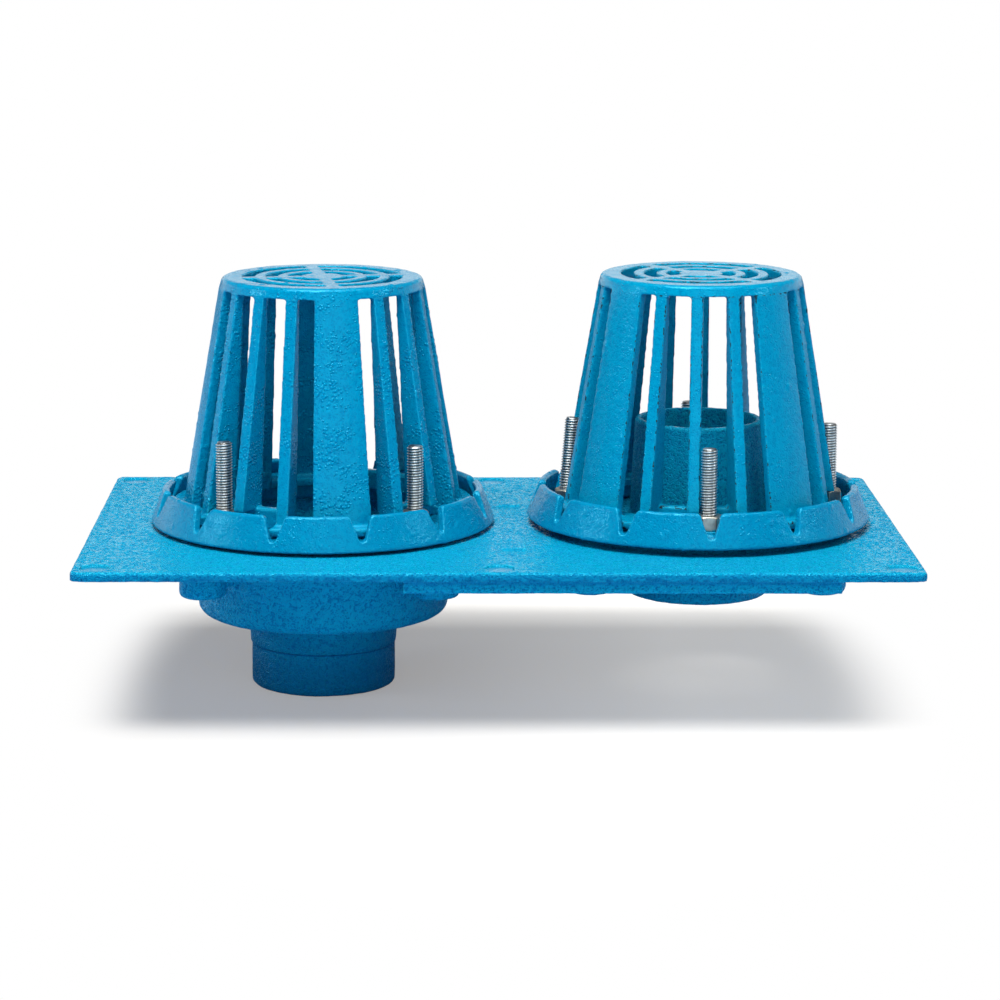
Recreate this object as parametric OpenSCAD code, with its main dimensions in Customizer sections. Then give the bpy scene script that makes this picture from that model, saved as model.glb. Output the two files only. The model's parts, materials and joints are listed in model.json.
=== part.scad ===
// Combined primary and overflow roof drain with cast domes, clamp rings and studs.
// Millimetres, +Z up, +X from the primary drain to the overflow drain.
// The origin is the centre of the shoulder on the primary outlet, where its coupling stops.

/* [Deck plate] */
// Length of the deck plate
deck_l = 475; // [468:1:520]
// Width of the deck plate
deck_w = 280; // [270:2:330]
// Thickness of the deck plate
deck_t = 5; // [4:0.5:8]
// Corner radius of the deck plate
deck_corner_r = 5; // [3:0.5:12]
// Rounding of the deck plate's upper edge
deck_edge_r = 1.5; // [0.5:0.25:3]
// Distance between the two drain axes
drain_pitch = 222.5; // [214:0.5:232]
// How far the pair of drains lies off the plate's middle, towards the overflow end
pair_shift = 9; // [0:0.5:12]

/* [Deck marks] */
// Diameter of the six shallow spots along the long edges
spot_d = 17.5; // [10:0.5:20]
// Depth of the spots
spot_depth = 1; // [0.5:0.25:2]
// Distance of the spot centres from the plate's edges
spot_inset = 13; // [12:0.5:15]
// Height of the two bare raised bars between the rings
bar_h = 0.8; // [0.5:0.1:2]
// Length of each raised bar, across the plate
bar_l = 34; // [20:1:40]
// Width of each raised bar
bar_w = 13; // [8:0.5:16]
// Distance of the raised bars from the plate's middle line
bar_offset = 62; // [50:1:75]

/* [Sump and primary outlet] */
// Radius of the sump bowl's outside, just under the deck
sump_r = 76.5; // [74:0.5:80]
// How much narrower the sump bowl is at its bottom
sump_draft = 2.5; // [1:0.5:5]
// Depth of the sump bowl below the deck's top face
sump_h = 52.5; // [44:0.5:70]
// Wall of the sump bowl
sump_wall = 5.5; // [4:0.5:7]
// Rounding of the sump bowl's bottom edge
sump_round_r = 6; // [3:0.5:9]
// Outside diameter of the outlet pipes, for a 3 inch no-hub coupling
pipe_d = 85.1; // [80:0.1:90]
// Wall of the outlet pipes
pipe_wall = 5; // [4:0.5:7]
// How much wider the collar above the outlet is, on the radius
collar_step = 2.1; // [1.8:0.1:3]
// How much narrower the collar is at its foot, on the radius
collar_draft = 1.4; // [0.2:0.1:1.7]
// Length of the collar
collar_h = 18.5; // [15:0.5:30]
// Length of the outlet spigot below the collar
spigot_h = 25.5; // [20:0.5:40]
// Rounding of the pipe ends' outer edge
pipe_end_r = 2.5; // [0.5:0.25:3]

/* [Overflow dam] */
// Height of the overflow pipe above the deck's top face
dam_h = 63; // [40:1:90]
// Outside radius of the overflow pipe at its top
dam_top_r = 37.6; // [34:0.1:40]
// Outside radius of the overflow pipe where it meets the deck
dam_base_r = 40.5; // [39:0.1:44]
// Wall of the overflow pipe at its top
dam_wall = 3.8; // [3:0.1:5]
// Length of the overflow outlet below the deck's top face
overflow_drop = 41.5; // [30:0.5:60]
// Height of the raised land under the overflow drain's ring
land_h = 2.2; // [1:0.1:4]
// Fillet between the pipes and the deck
fillet_r = 5; // [2:0.5:8]

/* [Underside] */
// Radius of the round lugs for the underdeck clamp
lug_r = 13.5; // [10:0.5:14.5]
// Distance of the lugs from the drain axis, along X and along Y
lug_offset = 67; // [65:0.5:72]
// Depth of the primary drain's lugs below the deck's top face
primary_lug_depth = 30; // [24:0.5:36]
// Depth of the overflow drain's lugs below the deck's top face
overflow_lug_depth = 27; // [24:0.5:36]
// Rounding of the lugs' bottom edge
lug_round_r = 3; // [1:0.5:4]
// Radius of the tapped holes in the lugs
lug_hole_r = 4; // [3:0.25:6]
// Depth of the tapped holes in the lugs
lug_hole_depth = 14; // [8:0.5:16]
// Thickness of the webs between the lugs and the sump bowl, and of the overflow lugs' gussets
lug_web_t = 12; // [8:0.5:16]
// How much shorter the webs are than the lugs
lug_web_rise = 4; // [3:0.5:8]
// Reach of the overflow lugs' gussets towards the pipe
gusset_l = 40; // [20:1:44]
// Depth of the stiffening ribs below the deck's top face
rib_depth = 12.5; // [8:0.5:16]
// Thickness of the stiffening ribs
rib_t = 8; // [5:0.5:12]
// Distance of the long ribs from the plate's long edges
rib_inset = 3; // [0:0.5:8]
// Distance from the primary axis to the start of the long ribs
rib_start = 49; // [40:1:60]
// Length of the long ribs beyond the overflow axis
rib_reach = 70; // [60:1:80]

/* [Clamp rings] */
// Outside radius of a ring at its foot
ring_r = 101.6; // [98:0.2:105]
// Height of a ring
ring_h = 20; // [18:0.5:24]
// How far a ring's wall leans inward from foot to top
ring_lean = 6.7; // [3:0.1:8]
// Thickness of a ring's wall
ring_wall = 4.8; // [3.5:0.1:5.5]
// Thickness of a ring's floor at the dome seat
ring_floor = 6.8; // [5:0.1:8]
// How much lower the floor's outer gutter lies than the dome seat
gutter_drop = 1.5; // [0.5:0.1:2]
// Inner radius of a ring's floor
ring_bore_r = 68.2; // [66:0.2:70]
// Height of the bead and pads that carry a ring on the deck
ring_foot_h = 2; // [1:0.1:4]
// Height of the nut pads over the dome seat
pad_h = 0.9; // [0.5:0.1:2]
// How far the nut pads reach beyond the nuts' corners
pad_margin = 0.5; // [0.3:0.1:0.7]
// Number of notches in a ring's wall
notch_n = 12; // [4:4:12]
// Depth of a notch
notch_depth = 14.2; // [8:0.2:14.4]
// Width of a notch near its top
notch_top_w = 10; // [7:0.5:14]
// Width of a notch at its round bottom
notch_bottom_w = 4.6; // [3:0.2:6]
// Rounding of the wall's upper corners beside a notch
notch_corner_r = 4.5; // [2:0.5:6]

/* [Studs and nuts] */
// Diameter of a stud
stud_d = 9.5; // [8:0.1:9.6]
// Radius of the circle that a drain's studs stand on
stud_circle_r = 77.6; // [77:0.1:79]
// Length of a stud
stud_l = 74; // [60:1:90]
// Height of the stud tops above the deck's top face, as usually screwed in
stud_top = 60; // [50:1:75]
// Angle that the overflow drain's left stud is bent inward above its nut
stud_bend = 4.5; // [1:0.5:5]
// Radius of that bend
stud_bend_r = 60; // [40:5:80]
// Depth of the tapped stud holes below the deck's top face
stud_hole_depth = 19; // [18.5:0.5:24]
// Radius of the bosses round the stud holes
stud_boss_r = 9; // [8:0.5:10]
// Metal left below a stud hole
stud_boss_floor = 4; // [2:0.5:8]
// How far the bosses stop below the deck's top face
stud_boss_drop = 1; // [0.5:0.25:2]
// Width of a nut across its flats
nut_af = 14.3; // [13:0.1:15]
// Height of a nut
nut_h = 8.3; // [6:0.1:10]

/* [Domes] */
// Height of a dome
dome_h = 138.2; // [110:0.1:160]
// Radius of a dome's top, before its edge is rounded
dome_top_r = 59.4; // [56:0.1:62]
// Outside radius of the bars where they meet the base flange
dome_base_r = 82; // [78:0.5:84]
// Rounding of a dome's top edge
dome_edge_r = 3; // [1.5:0.25:4]
// Thickness of a dome's top plate, down to the side slots
dome_plate_t = 6.2; // [5:0.1:9]
// Angle that a wide bar spans
wide_bar_angle = 24; // [18:0.5:26]
// Thickness of a wide bar
wide_bar_t = 6; // [4:0.25:8]
// Thickness of a narrow bar
bar_t = 6.8; // [5:0.2:7]
// Angle between neighbouring narrow bars
bar_step = 20.2; // [19.8:0.1:20.6]
// Radius of the narrow bars' upright inner edges, at the top
bar_inner_top_r = 55; // [52:0.5:57]
// Radius of the narrow bars' upright inner edges, at the flange
bar_inner_base_r = 62; // [58:0.5:64]
// Outside radius of a dome's base flange
flange_r = 89.4; // [88:0.2:89.6]
// Thickness of a dome's base flange
flange_t = 4.8; // [4:0.2:8]
// Height of the flange's inner wall behind the nuts
flange_wall_h = 11.5; // [11:0.25:15]
// Half the angle of the openings for the nuts in the flange
nut_gap_angle = 16.8; // [16.2:0.1:17]
// Outer radius of the outermost slot in the dome's top
top_slot_r = 47; // [44:0.5:50]
// Width of the slots in the dome's top
top_slot_w = 7.4; // [5:0.2:8]
// Width of the lands between those slots
top_land_w = 6; // [4:0.2:7]
// Width of the spokes across those slots
top_spoke_w = 8; // [5:0.5:12]
// How far the primary dome is turned off the middle of its nut openings
primary_dome_turn = 9.8; // [6.2:0.1:10]
// How far the overflow dome is turned off the middle of its nut openings
overflow_dome_turn = -6.5; // [-10:0.1:-6.5]

/* [Clearances] */
// Gap on the radius between a stud and the thread that it is screwed into
thread_gap = 0.15; // [0.1:0.05:0.3]
// Gap on the radius between a stud and its hole in a ring
stud_hole_gap = 0.8; // [0.4:0.1:1.2]
// Gap between a nut pad and the dome's wall behind it
pad_gap = 0.3; // [0.2:0.1:0.8]
// Gap between a nut's top and the bar above it
nut_gap = 0.8; // [0.5:0.1:1.5]

/* [Hidden] */
$fn = 96;
eps = 0.01;
casting_blue = [0.0, 0.62, 0.85];
steel_grey = [0.72, 0.71, 0.68];

// Levels, from the primary outlet's shoulder up
pipe_r = pipe_d / 2;
sump_bottom = collar_h;
deck_z = sump_bottom + sump_h;
primary_ring_z = deck_z + ring_foot_h;
overflow_ring_z = deck_z + land_h + ring_foot_h;
// Each drain has four studs and four quadrants of bars; angles run from the front
studs_per_drain = 4;
dome_quadrants = 4;
primary_stud_angle = 45;
overflow_stud_angle = 0;
// How far each stud is screwed out beyond the usual height, from the front one on
primary_stud_rise = [-4, -1, 0, -2];
overflow_stud_rise = [-1.5, -0.5, -0.5, 3];
bent_stud_index = 3;
stud_r = stud_d / 2;
nut_corner_r = nut_af / 2 / cos(30);
pad_r = nut_corner_r + pad_margin;

// Plan positions
primary_x = 0;
overflow_x = drain_pitch;
deck_x = drain_pitch / 2 - pair_shift;
sump_inner_r = sump_r - sump_wall;
bowl_inner_r = sump_inner_r - sump_draft;
bowl_floor_z = sump_bottom + sump_wall;
dam_bore_r = dam_top_r - dam_wall;
pipe_bore_r = pipe_r - pipe_wall;
land_r = stud_circle_r + pad_r + 1;
lug_circle_r = lug_offset * sqrt(2);
// Turns a revolved shape's seam away from the bosses and webs
seam_turn = 22.5;
bead_inner_r = ring_bore_r + 3;
bead_outer_r = bead_inner_r + 6;

// Dome levels, from the underside of its flange
bar_top_z = dome_h - dome_plate_t;
nut_top_z = pad_h + nut_h;
relief_z = nut_top_z + nut_gap;
nut_wall_r = stud_circle_r - pad_r - pad_gap;
flange_inner_r = nut_wall_r - 3;
bar_foot_angle = 5;
bar_setback = 0.3;

function arc(cx, cy, r, from, to, steps = 6) =
    [for (i = [0:steps]) let (a = from + (to - from) * i / steps) [cx + r * cos(a), cy + r * sin(a)]];
function dome_r(z) = dome_base_r + (dome_top_r - dome_base_r) * (z - flange_t) / (dome_h - flange_t);
function stud_angle(first, index) = first + index * 360 / studs_per_drain;

// Places its children on a drain axis, turned from the front towards +X
module at_angle(angle, radius) {
    rotate([0, 0, angle])
        translate([0, -radius, 0])
            children();
}

// Upright plate in the plane of the drain axis, drawn as radius and height
module upright_plate(t, outline) {
    rotate([90, 0, 0])
        rotate([0, -90, 0])
            translate([0, 0, -t / 2])
                linear_extrude(t)
                    polygon(outline);
}

// ---------- body casting ----------

module rounded_plate(l, w, t, corner_r, edge_r) {
    hull()
        for (x = [-1, 1], y = [-1, 1])
            translate([x * (l / 2 - corner_r), y * (w / 2 - corner_r), 0])
                rotate_extrude($fn = 32)
                    polygon(concat(
                        [[0, 0], [corner_r, 0]],
                        arc(corner_r - edge_r, t - edge_r, edge_r, 0, 90, 4),
                        [[0, t]]));
}

module deck_plate() {
    difference() {
        translate([deck_x, 0, deck_z - deck_t])
            rounded_plate(deck_l, deck_w, deck_t, deck_corner_r, deck_edge_r);
        for (x = [-1, 0, 1], y = [-1, 1])
            translate([
                deck_x + x * (deck_l / 2 - spot_inset),
                y * (deck_w / 2 - spot_inset),
                deck_z - spot_depth
            ])
                cylinder(d = spot_d, h = deck_t);
    }
    for (y = [-1, 1])
        translate([deck_x + pair_shift, y * bar_offset, deck_z - eps])
            linear_extrude(bar_h + eps)
                square([bar_w, bar_l], center = true);
}

// Outside of the sump bowl, its collar and its spigot
module sump_outside() {
    bottom_r = sump_r - sump_draft;
    collar_r = pipe_r + collar_step;
    rotate_extrude()
        polygon(concat(
            [[0, -spigot_h], [pipe_r - pipe_end_r, -spigot_h]],
            arc(pipe_r - pipe_end_r, pipe_end_r - spigot_h, pipe_end_r, -90, 0, 4),
            [[pipe_r, 0], [collar_r - collar_draft, 0], [collar_r, sump_bottom]],
            arc(bottom_r - sump_round_r, sump_bottom + sump_round_r, sump_round_r, -90, 0, 6),
            [[sump_r, deck_z - deck_t - fillet_r]],
            arc(sump_r + fillet_r, deck_z - deck_t - fillet_r, fillet_r, 180, 90, 5),
            [[sump_r + fillet_r, deck_z - deck_t / 2], [0, deck_z - deck_t / 2]]));
}

// Water space of the sump and its outlet
module sump_inside() {
    slope_z = bowl_floor_z + 3;
    rotate_extrude()
        polygon(concat(
            [[0, -spigot_h - 1], [pipe_bore_r, -spigot_h - 1], [pipe_bore_r, bowl_floor_z - sump_round_r / 2]],
            arc(pipe_bore_r + sump_round_r / 2, bowl_floor_z - sump_round_r / 2, sump_round_r / 2, 180, 110, 4),
            arc(bowl_inner_r - sump_round_r, slope_z + sump_round_r, sump_round_r, -85, 0, 5),
            [[sump_inner_r, deck_z + 1], [0, deck_z + 1]]));
}

// Outside of the overflow pipe, from the outlet's end up to the top of the dam
module overflow_outside() {
    end_z = deck_z - overflow_drop;
    under_z = deck_z - deck_t;
    top_z = deck_z + land_h;
    rotate_extrude()
        polygon(concat(
            [[0, end_z], [pipe_r - pipe_end_r, end_z]],
            arc(pipe_r - pipe_end_r, end_z + pipe_end_r, pipe_end_r, -90, 0, 4),
            [[pipe_r, under_z - fillet_r]],
            arc(pipe_r + fillet_r, under_z - fillet_r, fillet_r, 180, 90, 5),
            [[pipe_r + fillet_r, under_z + deck_t / 2]],
            [[land_r, under_z + deck_t / 2], [land_r + land_h, deck_z], [land_r, top_z]],
            [[dam_base_r + fillet_r, top_z]],
            arc(dam_base_r + fillet_r, top_z + fillet_r, fillet_r, 270, 180, 5),
            [[dam_top_r, deck_z + dam_h - 1], [dam_top_r - 1, deck_z + dam_h], [0, deck_z + dam_h]]));
}

module overflow_inside() {
    end_z = deck_z - overflow_drop;
    rotate_extrude()
        polygon([
            [0, end_z - 1],
            [pipe_bore_r, end_z - 1],
            [pipe_bore_r, end_z + 12],
            [dam_bore_r, deck_z],
            [dam_bore_r, deck_z + dam_h + 1],
            [0, deck_z + dam_h + 1]
        ]);
}

module lugs(depth) {
    for (x = [-lug_offset, lug_offset], y = [-lug_offset, lug_offset])
        translate([x, y, deck_z - depth])
            rotate_extrude()
                polygon(concat(
                    [[0, 0]],
                    arc(lug_r - lug_round_r, lug_round_r, lug_round_r, -90, 0, 4),
                    [[lug_r, depth - deck_t / 2], [0, depth - deck_t / 2]]));
}

module lug_holes(depth) {
    for (x = [-lug_offset, lug_offset], y = [-lug_offset, lug_offset])
        translate([x, y, deck_z - depth - 1])
            cylinder(r = lug_hole_r, h = lug_hole_depth + 1);
}

// Webs that tie the primary drain's lugs to the sump bowl
module lug_webs() {
    web_start = sump_inner_r + 2;
    web_top = deck_z - deck_t / 2;
    web_bottom = deck_z - primary_lug_depth + lug_web_rise;
    for (i = [0:3])
        rotate([0, 0, 45 + i * 90])
            upright_plate(lug_web_t, [
                [web_start, web_bottom],
                [lug_circle_r, web_bottom],
                [lug_circle_r, web_top],
                [web_start, web_top]
            ]);
}

// Gussets that slope from the overflow drain's lugs up to the plate
module lug_gussets() {
    gusset_top = deck_z - deck_t / 2;
    gusset_bottom = deck_z - overflow_lug_depth + lug_round_r;
    for (i = [0:3])
        rotate([0, 0, 45 + i * 90])
            upright_plate(lug_web_t, [
                [lug_circle_r - gusset_l, gusset_top],
                [lug_circle_r, gusset_bottom],
                [lug_circle_r, gusset_top]
            ]);
}

module stud_bosses(first_angle) {
    for (i = [0:studs_per_drain - 1])
        at_angle(stud_angle(first_angle, i), stud_circle_r)
            translate([0, 0, deck_z - stud_hole_depth - stud_boss_floor])
                cylinder(r = stud_boss_r, h = stud_hole_depth + stud_boss_floor - stud_boss_drop);
}

module stud_holes(first_angle) {
    for (i = [0:studs_per_drain - 1])
        at_angle(stud_angle(first_angle, i), stud_circle_r)
            translate([0, 0, deck_z - stud_hole_depth])
                cylinder(r = stud_r + thread_gap, h = stud_hole_depth + land_h + 1);
}

// Two long ribs and the two cross ribs that join them under the overflow end
module ribs() {
    rib_h = rib_depth - deck_t / 2;
    rib_y = deck_w / 2 - rib_inset - rib_t;
    start_x = primary_x + rib_start;
    end_x = overflow_x + rib_reach;
    translate([0, 0, deck_z - rib_depth]) {
        for (y = [-rib_y - rib_t, rib_y])
            translate([start_x, y, 0])
                cube([end_x - start_x, rib_t, rib_h]);
        for (x = [primary_x + lug_offset, overflow_x + lug_offset])
            translate([x - rib_t / 2, -rib_y - eps, 0])
                cube([rib_t, 2 * (rib_y + eps), rib_h]);
    }
}

// Plate, ribs and pipes with their water spaces open, before the stud bosses
module deck_and_pipes() {
    difference() {
        union() {
            deck_plate();
            ribs();
            sump_outside();
            lugs(primary_lug_depth);
            lug_webs();
            translate([overflow_x, 0, 0]) {
                rotate([0, 0, seam_turn])
                    overflow_outside();
                lugs(overflow_lug_depth);
                lug_gussets();
            }
        }
        sump_inside();
        translate([overflow_x, 0, 0])
            overflow_inside();
    }
}

module body() {
    color(casting_blue)
        difference() {
            union() {
                deck_and_pipes();
                stud_bosses(primary_stud_angle);
                translate([overflow_x, 0, 0])
                    stud_bosses(overflow_stud_angle);
            }
            lug_holes(primary_lug_depth);
            stud_holes(primary_stud_angle);
            translate([overflow_x, 0, 0]) {
                lug_holes(overflow_lug_depth);
                stud_holes(overflow_stud_angle);
            }
        }
}

// ---------- clamp rings ----------

module ring_section() {
    top_r = ring_r - ring_lean;
    top_z = ring_h - ring_wall / 2;
    floor_z = ring_floor - gutter_drop;
    seat_r = 2 * stud_circle_r - nut_wall_r - 3;
    polygon(concat(
        [[ring_bore_r, 0], [bead_inner_r, 0], [bead_inner_r, -ring_foot_h]],
        [[bead_outer_r, -ring_foot_h], [bead_outer_r, 0], [ring_r - 1, 0], [ring_r, 1]],
        arc(top_r - ring_wall / 2, top_z, ring_wall / 2, 0, 180, 8),
        [[ring_r - ring_wall - 2, floor_z], [seat_r + gutter_drop, floor_z]],
        [[seat_r, ring_floor], [ring_bore_r, ring_floor]]));
}

// Outline of one notch: round bottom, spread sides, flared corners at the top
module notch_outline() {
    bottom_r = notch_bottom_w / 2;
    round_z = ring_h - notch_depth + bottom_r;
    flare_z = ring_h - notch_corner_r + 0.4;
    flare_x = notch_top_w / 2 + notch_corner_r;
    polygon(concat(
        arc(0, round_z, bottom_r, 180, 360, 8),
        arc(flare_x, flare_z, notch_corner_r, 180, 90, 5),
        [[flare_x, ring_h + 1], [-flare_x, ring_h + 1]],
        arc(-flare_x, flare_z, notch_corner_r, 90, 0, 5)));
}

module clamp_ring(z, stud_first) {
    notch_start = ring_r - ring_lean - ring_wall - 3;
    color(casting_blue)
        translate([0, 0, z])
            difference() {
                union() {
                    rotate([0, 0, stud_first + 180 / notch_n])
                        rotate_extrude()
                            ring_section();
                    for (i = [0:studs_per_drain - 1])
                        at_angle(stud_angle(stud_first, i), stud_circle_r) {
                            translate([0, 0, -ring_foot_h])
                                cylinder(r = pad_r, h = ring_foot_h + ring_floor + pad_h);
                        }
                }
                for (i = [0:notch_n - 1])
                    rotate([0, 0, stud_first + i * 360 / notch_n])
                        translate([0, -notch_start, 0])
                            rotate([90, 0, 0])
                                linear_extrude(ring_r - notch_start + 1)
                                    notch_outline();
                for (i = [0:studs_per_drain - 1])
                    at_angle(stud_angle(stud_first, i), stud_circle_r)
                        translate([0, 0, -ring_foot_h - 1])
                            cylinder(r = stud_r + stud_hole_gap, h = ring_floor + ring_foot_h + pad_h + 2);
            }
}

// ---------- domes ----------

// Flat top plate with rounded edge, and the band that the bars hang from
module dome_cap() {
    difference() {
        rotate_extrude()
            polygon(concat(
                [[0, bar_top_z], [dome_r(bar_top_z), bar_top_z]],
                arc(dome_top_r - dome_edge_r, dome_h - dome_edge_r, dome_edge_r, 0, 90, 5),
                [[0, dome_h]]));
        translate([0, 0, bar_top_z - 1])
            linear_extrude(dome_plate_t + 2)
                top_slots();
    }
}

module top_slots() {
    step = top_slot_w + top_land_w;
    difference() {
        for (i = [0:2])
            difference() {
                circle(r = top_slot_r - i * step);
                circle(r = top_slot_r - i * step - top_slot_w);
            }
        for (i = [0:dome_quadrants - 1])
            rotate([0, 0, i * 360 / dome_quadrants])
                translate([-top_spoke_w / 2, -top_slot_r - 1])
                    square([top_spoke_w, top_slot_r + 1]);
    }
}

// Turns a profile through an angle, centred on the front
module sector(angle) {
    rotate([0, 0, -90 - angle / 2])
        rotate_extrude(angle = angle)
            children();
}

module wide_bar() {
    sector(wide_bar_angle)
        polygon([
            [dome_r(flange_t / 2) - wide_bar_t, flange_t / 2],
            [dome_r(flange_t / 2), flange_t / 2],
            [dome_r(bar_top_z), bar_top_z],
            [dome_r(bar_top_z) - 1, bar_top_z + 1],
            [dome_r(bar_top_z) - wide_bar_t + 1, bar_top_z + 1],
            [dome_r(bar_top_z) - wide_bar_t, bar_top_z]
        ]);
}

// A narrow bar: sloping outer edge, nearly upright inner edge
module narrow_bar() {
    upright_plate(bar_t, [
        [bar_inner_base_r + 1, flange_t / 2],
        [dome_r(flange_t / 2) - bar_setback, flange_t / 2],
        [dome_r(bar_top_z) - bar_setback, bar_top_z],
        [dome_r(bar_top_z) - 1, bar_top_z + 1],
        [bar_inner_top_r + 1, bar_top_z + 1],
        [bar_inner_top_r + 0.5, bar_top_z]
    ]);
}

// The narrow bar between two nut openings stands on the wall behind the nuts
module middle_bar() {
    upright_plate(bar_t, [
        [bar_inner_base_r + 1, flange_t / 2],
        [nut_wall_r - 0.5, flange_t / 2],
        [nut_wall_r - 0.5, relief_z],
        [dome_r(relief_z) - bar_setback, relief_z],
        [dome_r(bar_top_z) - bar_setback, bar_top_z],
        [dome_r(bar_top_z) - 1, bar_top_z + 1],
        [bar_inner_top_r + 1, bar_top_z + 1],
        [bar_inner_top_r + 0.5, bar_top_z]
    ]);
}

// Base flange: open round the nuts, with a wall behind each opening
module dome_flange() {
    quadrant = 360 / dome_quadrants;
    for (i = [0:dome_quadrants - 1]) {
        rotate([0, 0, i * quadrant])
            sector(quadrant - 2 * nut_gap_angle)
                polygon([
                    [flange_inner_r, 0],
                    [flange_r - 1, 0],
                    [flange_r, 1],
                    [flange_r, flange_t - 1],
                    [flange_r - 1, flange_t],
                    [flange_inner_r, flange_t]
                ]);
        rotate([0, 0, (i + 0.5) * quadrant])
            sector(2 * nut_gap_angle + 2 * bar_foot_angle)
                polygon([
                    [bar_inner_base_r, 0],
                    [nut_wall_r, 0],
                    [nut_wall_r, flange_wall_h - 1],
                    [nut_wall_r - 1, flange_wall_h],
                    [bar_inner_base_r + 1, flange_wall_h],
                    [bar_inner_base_r, flange_wall_h - 1]
                ]);
    }
}

module dome(z, stud_first, turn) {
    quadrant = 360 / dome_quadrants;
    color(casting_blue)
        translate([0, 0, z])
            rotate([0, 0, stud_first - quadrant / 2 + turn]) {
                dome_cap();
                dome_flange();
                for (i = [0:dome_quadrants - 1]) {
                    rotate([0, 0, i * quadrant])
                        wide_bar();
                    rotate([0, 0, (i + 0.5) * quadrant])
                        middle_bar();
                    for (side = [-1, 1])
                        rotate([0, 0, (i + 0.5) * quadrant + side * bar_step])
                            narrow_bar();
                }
            }
}

// ---------- studs and nuts ----------

// Round rod from z = 0 up, with its lower or upper edge chamfered
module rod(r, l, lower_chamfer, upper_chamfer) {
    rotate_extrude($fn = 48)
        polygon(concat(
            [[0, 0]],
            lower_chamfer > 0 ? [[r - lower_chamfer, 0], [r, lower_chamfer]] : [[r, 0]],
            upper_chamfer > 0 ? [[r, l - upper_chamfer], [r - upper_chamfer, l]] : [[r, l]],
            [[0, l]]));
}

module stud(rise) {
    color(steel_grey)
        translate([0, 0, deck_z + stud_top + rise - stud_l])
            rod(stud_r, stud_l, 1, 1);
}

// Stud bent towards the drain axis just above its nut
module bent_stud(rise) {
    bottom_z = deck_z + stud_top + rise - stud_l;
    straight_l = overflow_ring_z + ring_floor + nut_top_z + 2 - bottom_z;
    arc_l = stud_bend_r * stud_bend * PI / 180;
    rod_lap = 0.5;
    color(steel_grey)
        translate([0, 0, bottom_z]) {
            rod(stud_r, straight_l, 1, 0);
            translate([0, stud_bend_r, straight_l])
                rotate([90, 0, -90])
                    rotate_extrude(angle = stud_bend, $fn = 96)
                        translate([stud_bend_r, 0])
                            circle(r = stud_r, $fn = 48);
            translate([0, stud_bend_r, straight_l])
                rotate([-stud_bend, 0, 0])
                    translate([0, -stud_bend_r, -rod_lap])
                        rod(stud_r - 2 * eps, stud_l - straight_l - arc_l + rod_lap, 0, 1);
        }
}

module nut(z) {
    chamfer = nut_corner_r - nut_af / 2;
    color(steel_grey)
        translate([0, 0, z])
            difference() {
                intersection() {
                    cylinder(r = nut_corner_r, h = nut_h, $fn = 6);
                    rotate_extrude($fn = 48)
                        polygon([
                            [0, 0],
                            [nut_af / 2, 0],
                            [nut_corner_r, chamfer / 2],
                            [nut_corner_r, nut_h - chamfer / 2],
                            [nut_af / 2, nut_h],
                            [0, nut_h]
                        ]);
                }
                translate([0, 0, -1])
                    cylinder(r = stud_r + thread_gap, h = nut_h + 2, $fn = 48);
            }
}

module primary_stud(index) {
    translate([primary_x, 0, 0])
        at_angle(stud_angle(primary_stud_angle, index), stud_circle_r)
            stud(primary_stud_rise[index]);
}

module overflow_stud(index) {
    translate([overflow_x, 0, 0])
        at_angle(stud_angle(overflow_stud_angle, index), stud_circle_r)
            if (index == bent_stud_index)
                bent_stud(overflow_stud_rise[index]);
            else
                stud(overflow_stud_rise[index]);
}

module primary_nut(index) {
    translate([primary_x, 0, 0])
        at_angle(stud_angle(primary_stud_angle, index), stud_circle_r)
            nut(primary_ring_z + ring_floor + pad_h);
}

module overflow_nut(index) {
    translate([overflow_x, 0, 0])
        at_angle(stud_angle(overflow_stud_angle, index), stud_circle_r)
            nut(overflow_ring_z + ring_floor + pad_h);
}

module clamp_ring_primary() {
    translate([primary_x, 0, 0])
        clamp_ring(primary_ring_z, primary_stud_angle);
}

module clamp_ring_overflow() {
    translate([overflow_x, 0, 0])
        clamp_ring(overflow_ring_z, overflow_stud_angle);
}

module dome_primary() {
    translate([primary_x, 0, 0])
        dome(primary_ring_z + ring_floor, primary_stud_angle, primary_dome_turn);
}

module dome_overflow() {
    translate([overflow_x, 0, 0])
        dome(overflow_ring_z + ring_floor, overflow_stud_angle, overflow_dome_turn);
}

body();
clamp_ring_primary();
clamp_ring_overflow();
dome_primary();
dome_overflow();
primary_stud(0);  // stud_primary_1
primary_stud(1);  // stud_primary_2
primary_stud(2);  // stud_primary_3
primary_stud(3);  // stud_primary_4
overflow_stud(0);  // stud_overflow_1
overflow_stud(1);  // stud_overflow_2
overflow_stud(2);  // stud_overflow_3
overflow_stud(3);  // stud_overflow_4
primary_nut(0);  // nut_primary_1
primary_nut(1);  // nut_primary_2
primary_nut(2);  // nut_primary_3
primary_nut(3);  // nut_primary_4
overflow_nut(0);  // nut_overflow_1
overflow_nut(1);  // nut_overflow_2
overflow_nut(2);  // nut_overflow_3
overflow_nut(3);  // nut_overflow_4
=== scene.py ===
"""Looks of a combined primary and overflow roof drain.

The five castings are sand-cast iron under a glossy blue epoxy coating. The studs have
rolled threads and the nuts are chamfered, both zinc plated. Lengths are in metres.
"""
import json
import math
import random

import bmesh
import bpy
import numpy as np
from mathutils import Matrix, Vector, noise
from mathutils.kdtree import KDTree


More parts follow.
